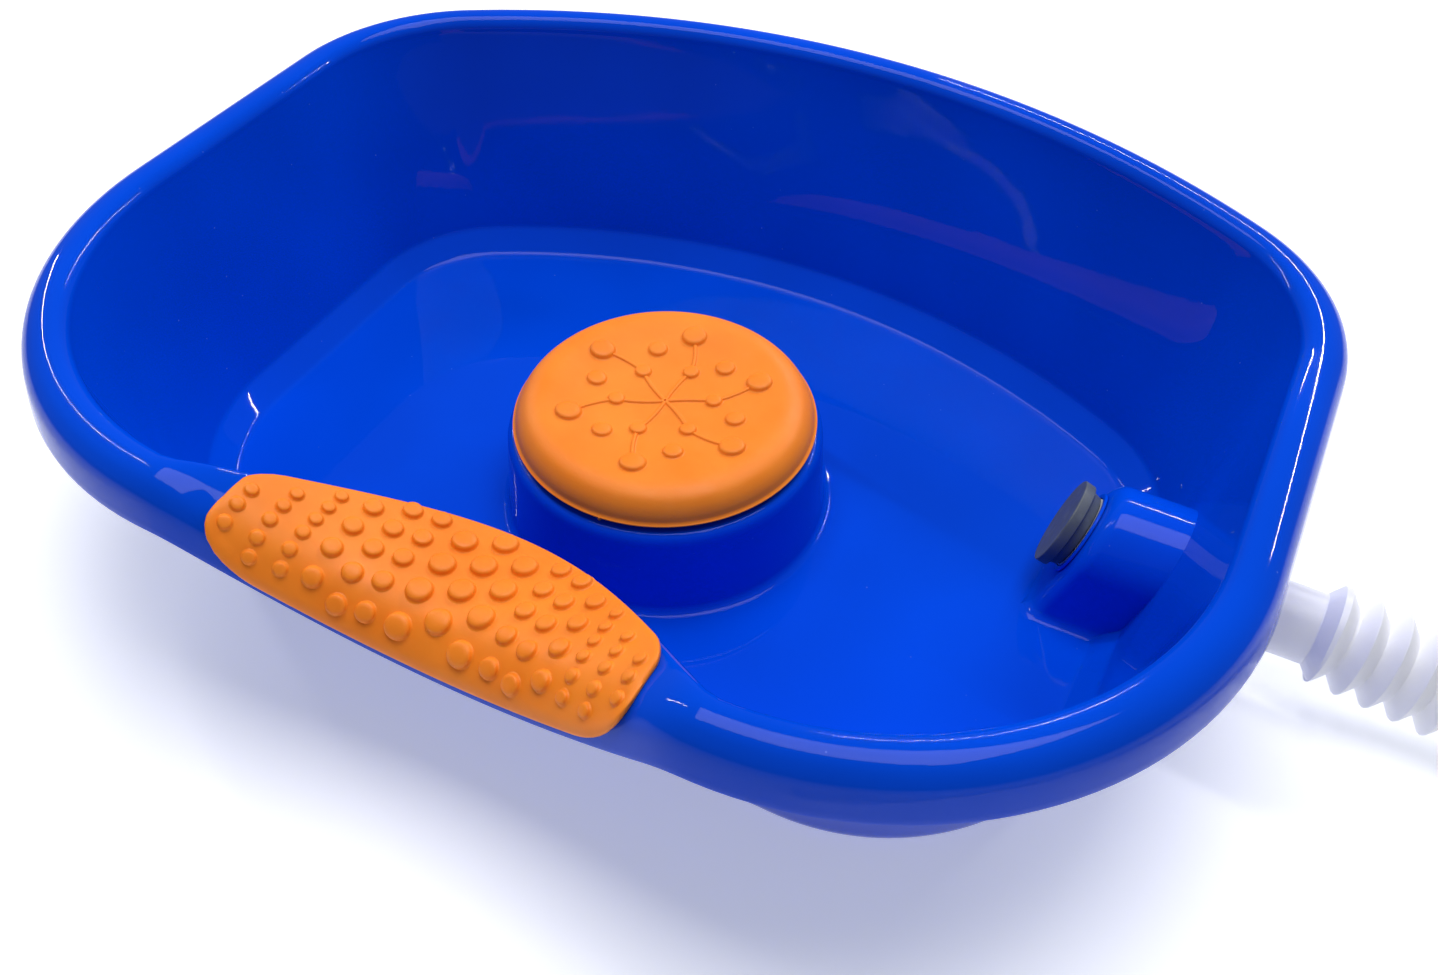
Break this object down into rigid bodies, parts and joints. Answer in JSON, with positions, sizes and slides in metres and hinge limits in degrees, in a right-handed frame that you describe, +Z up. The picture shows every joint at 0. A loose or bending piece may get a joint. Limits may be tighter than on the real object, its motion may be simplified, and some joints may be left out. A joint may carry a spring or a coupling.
{
  "type": "foot spa basin",
  "caption": "Shallow moulded basin with a dipped front rim under a soft nubbed rest pad, a raised round soft head, a side drain with a plug, and a corrugated drain hose",
  "frame": {"origin": "middle of the base, on the plane the feet stand on, measured without the hose", "axes": "+X along the long side towards the hose, +Y towards the high back rim, +Z up"},
  "size_m": [0.8553, 0.6074, 0.133],
  "materials": {
    "blue_plastic": "high gloss",
    "orange_rubber": "matt soft touch",
    "grey_rubber": "matt",
    "white_plastic": "satin",
    "black_rubber": "matt"
  },
  "bodies": {
    "basin": {"basin_shell": "blue_plastic", "drain_seat_ring": "blue_plastic", "elbow_gasket": "black_rubber", "drain_elbow": "white_plastic", "spigot_seal_ring": "black_rubber", "hose_cuff": "white_plastic", "drain_hose": "white_plastic", "hose_end_cuff": "white_plastic", "foot_front_left": "black_rubber", "foot_front_right": "black_rubber", "foot_back_left": "black_rubber", "foot_back_right": "black_rubber"},
    "pad": {"rest_pad": "orange_rubber"},
    "head": {"head_cap": "orange_rubber", "head_carrier": "blue_plastic", "head_seal_ring": "black_rubber"},
    "stopper": {"drain_stopper": "grey_rubber"}
  },
  "joints": [
    {"name": "pad_lift", "type": "slide", "parent": "basin", "child": "pad", "axis": [0, 0, 1], "range_m": [0, 0.05]},
    {"name": "head_lift", "type": "slide", "parent": "basin", "child": "head", "axis": [0, 0, 1], "range_m": [0, 0.06]},
    {"name": "stopper_pull", "type": "slide", "parent": "basin", "child": "stopper", "axis": [-0.9511, 0, 0.309], "range_m": [0, 0.05]}
  ]
}
